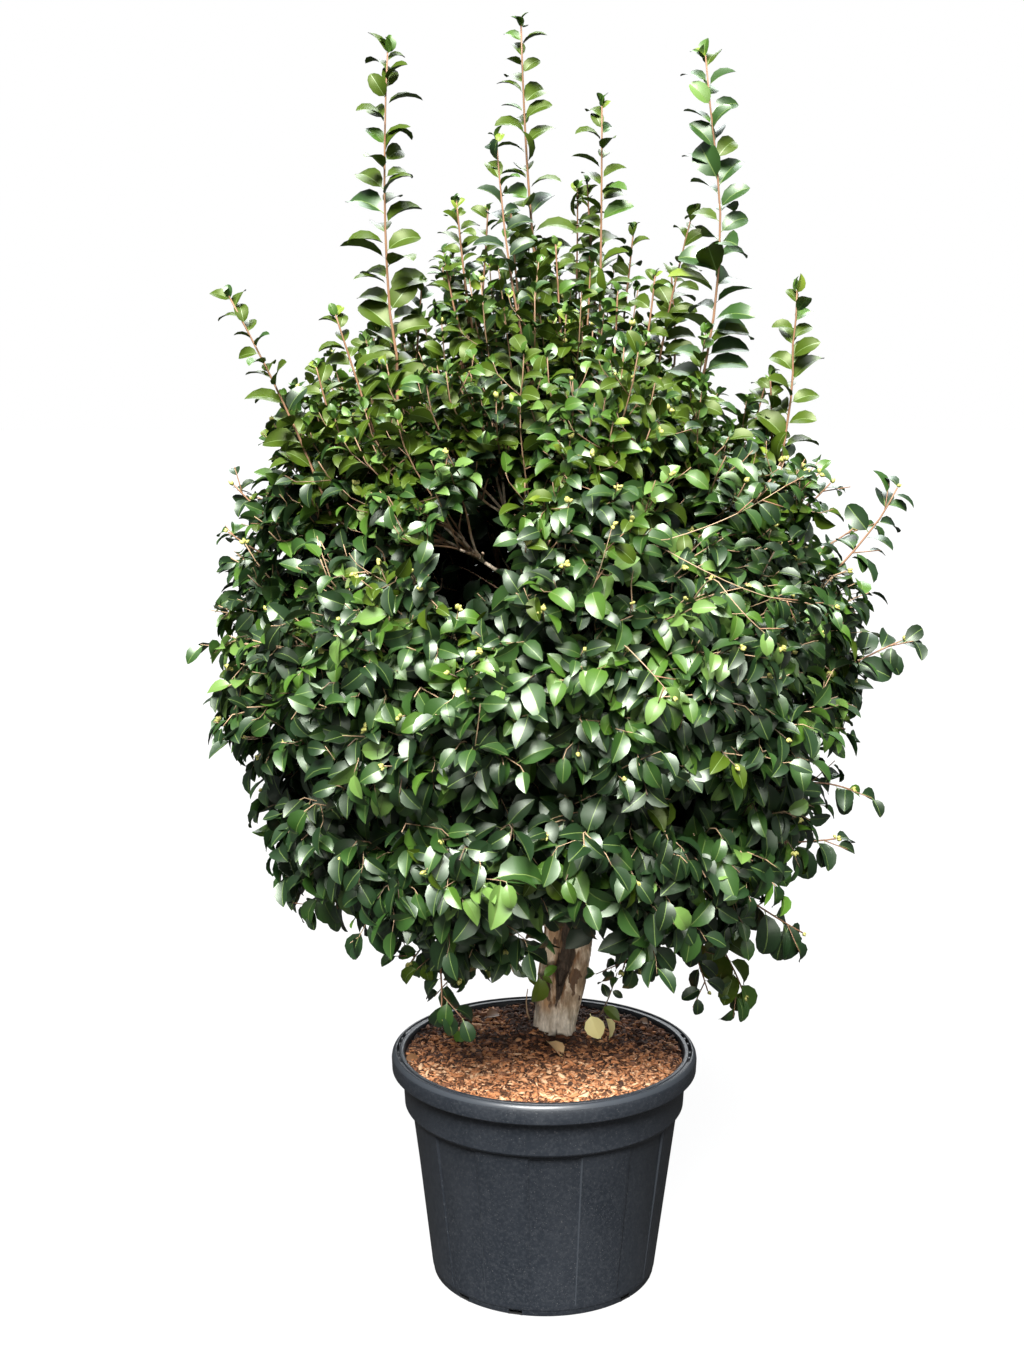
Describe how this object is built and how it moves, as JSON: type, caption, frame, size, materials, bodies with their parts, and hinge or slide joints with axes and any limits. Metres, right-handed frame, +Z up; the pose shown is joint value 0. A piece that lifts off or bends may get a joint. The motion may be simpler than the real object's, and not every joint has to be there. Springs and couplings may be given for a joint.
{
  "type": "camellia shrub in a nursery pot",
  "caption": "Evergreen camellia shrub with a dense rounded crown and tall upright shoots, on a short forked trunk, growing in a round dark plastic nursery pot.",
  "frame": {"origin": "middle of the pot's flat underside, where it stands", "axes": "+Z up, -Y towards the front that the trunk's groove and the open side of the foliage face, +X to the right seen from the front"},
  "size_m": [1.5911, 1.4332, 2.8007],
  "materials": {
    "pot": "dark charcoal moulded plastic, dusty and lightly scuffed",
    "potting_mix": "coarse coppery bark chips, darker where damp",
    "bark": "grey-tan bark with brown patches, rough at the foot",
    "leaves": "glossy deep green evergreen leaves",
    "young_leaves": "glossy fresh green leaves of this year's shoots"
  },
  "bodies": {
    "root": {"pot": "pot", "potting_mix": "potting_mix", "trunk": "bark", "stem_left": "bark", "stem_right": "bark", "stem_back": "bark", "bough_low_1": "bark", "bough_low_2": "bark", "bough_low_3": "bark", "bough_low_4": "bark", "bough_low_5": "bark", "bough_middle_1": "bark", "bough_middle_2": "bark", "bough_middle_3": "bark", "bough_middle_4": "bark", "bough_middle_5": "bark", "bough_middle_6": "bark", "bough_upper_1": "bark", "bough_top": "bark", "foliage_low_1": "leaves", "foliage_low_2": "leaves", "foliage_low_3": "leaves", "foliage_low_4": "leaves", "foliage_low_5": "leaves", "foliage_middle_1": "leaves", "foliage_middle_2": "leaves", "foliage_middle_3": "leaves", "foliage_middle_4": "leaves", "foliage_middle_5": "leaves", "foliage_middle_6": "leaves", "foliage_upper_1": "leaves", "foliage_upper_2": "leaves", "foliage_upper_3": "leaves", "foliage_upper_4": "leaves", "foliage_top": "leaves", "shoot_tall_left": "young_leaves", "shoot_tall_centre": "young_leaves", "shoot_tall_right": "young_leaves", "shoot_right_of_centre": "young_leaves", "shoot_left_of_centre": "young_leaves", "shoot_short_left": "young_leaves", "shoot_short_centre": "young_leaves", "shoot_short_right": "young_leaves", "shoot_far_right": "young_leaves", "shoot_far_left": "young_leaves", "shoot_shoulder_left": "young_leaves", "shoot_back": "young_leaves", "spray_right_upper": "young_leaves", "spray_right_middle": "young_leaves", "spray_right_lower": "young_leaves", "spray_foot_right": "young_leaves", "spray_hanging_right": "young_leaves", "spray_hanging_left": "young_leaves", "spray_back_left": "young_leaves", "spray_back_right": "young_leaves"}
  },
  "joints": []
}
